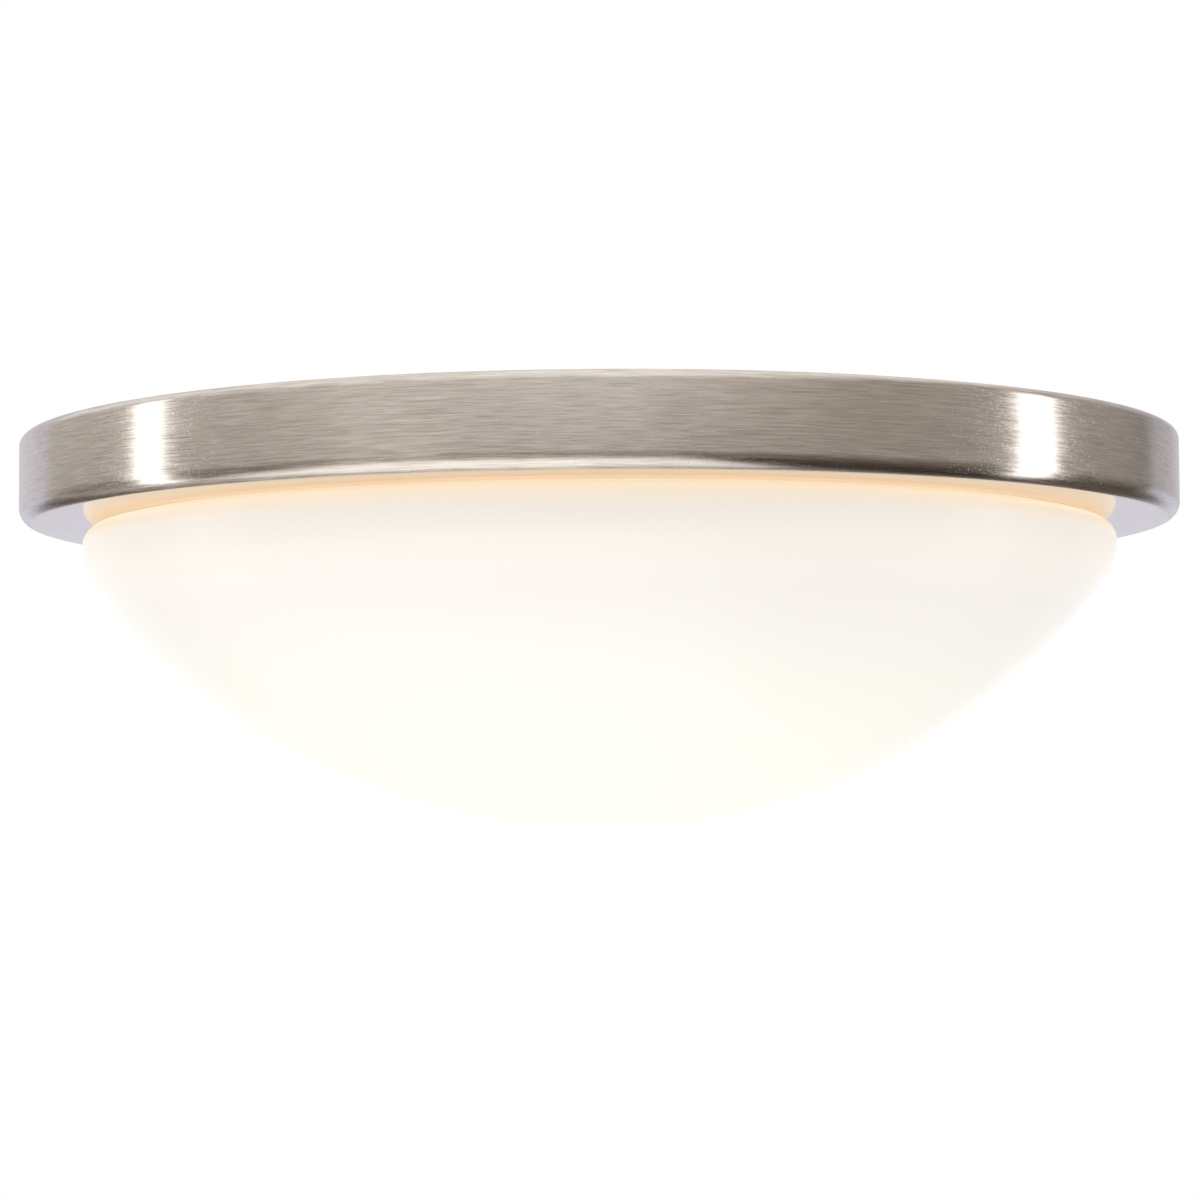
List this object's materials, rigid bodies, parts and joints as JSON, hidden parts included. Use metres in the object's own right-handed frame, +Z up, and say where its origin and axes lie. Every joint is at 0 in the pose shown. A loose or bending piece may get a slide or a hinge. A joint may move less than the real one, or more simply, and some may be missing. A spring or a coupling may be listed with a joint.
{
  "type": "flush mount ceiling light",
  "caption": "Round flush mount ceiling light: brushed nickel pan against the ceiling and a lit opal glass dome that pulls down off hidden spring clips.",
  "frame": {"origin": "centre of the light in the ceiling plane, where the crossbar's ends bear on the outlet box", "axes": "+Z up into the ceiling along the light's axis, the light hanging below; +X along the crossbar"},
  "size_m": [0.33, 0.33, 0.1108],
  "materials": {
    "brushed_nickel": "brushed round the wall, satin, smooth underneath",
    "white_enamel": "baked white enamel, semi-gloss",
    "zinc_steel": "bright zinc plated",
    "green_screw": "green dyed zinc plating",
    "black_rubber": "moulded, matt",
    "board_mask": "white solder mask on aluminium",
    "led_phosphor": "yellow phosphor in a white frame, lit",
    "white_nylon": "moulded nylon",
    "driver_plastic": "moulded, fine texture",
    "brass": "plain",
    "tinned_copper": "tinned",
    "black_insulation": "insulation",
    "white_insulation": "insulation",
    "green_insulation": "insulation",
    "red_insulation": "insulation",
    "rivet_aluminium": "plain",
    "opal_glass": "blown opal, satin, lit from inside",
    "silicone": "translucent white silicone",
    "spring_steel": "bright rolled strip"
  },
  "bodies": {
    "pan": {"trim_pan": "brushed_nickel", "backplate": "white_enamel", "crossbar": "zinc_steel", "crossbar_studs": "zinc_steel", "mounting_nuts": "zinc_steel", "ground_screw": "green_screw", "supply_grommet": "black_rubber", "tray_grommet": "black_rubber", "tray_standoffs": "zinc_steel", "reflector_tray": "white_enamel", "tray_screws": "zinc_steel", "led_board": "board_mask", "led_chips": "led_phosphor", "board_screws": "zinc_steel", "board_connector": "white_nylon", "driver_case": "driver_plastic", "driver_lid": "driver_plastic", "driver_screws": "zinc_steel", "terminal_block": "white_nylon", "terminal_barrels": "brass", "terminal_screws": "zinc_steel", "block_screw": "zinc_steel", "earth_tag": "tinned_copper", "earth_screw": "zinc_steel", "live_lead": "black_insulation", "neutral_lead": "white_insulation", "earth_lead": "green_insulation", "red_lead": "red_insulation", "black_lead": "black_insulation", "clip_rivets": "rivet_aluminium", "spring_clip_1": "spring_steel", "spring_clip_2": "spring_steel", "spring_clip_3": "spring_steel"},
    "shade": {"glass_shade": "opal_glass", "shade_gasket": "silicone"}
  },
  "joints": [
    {"name": "shade_drop", "type": "slide", "parent": "pan", "child": "shade", "axis": [0, 0, -1], "range_m": [0, 0.12], "deforming": ["spring_clip_1", "spring_clip_2", "spring_clip_3"]}
  ]
}
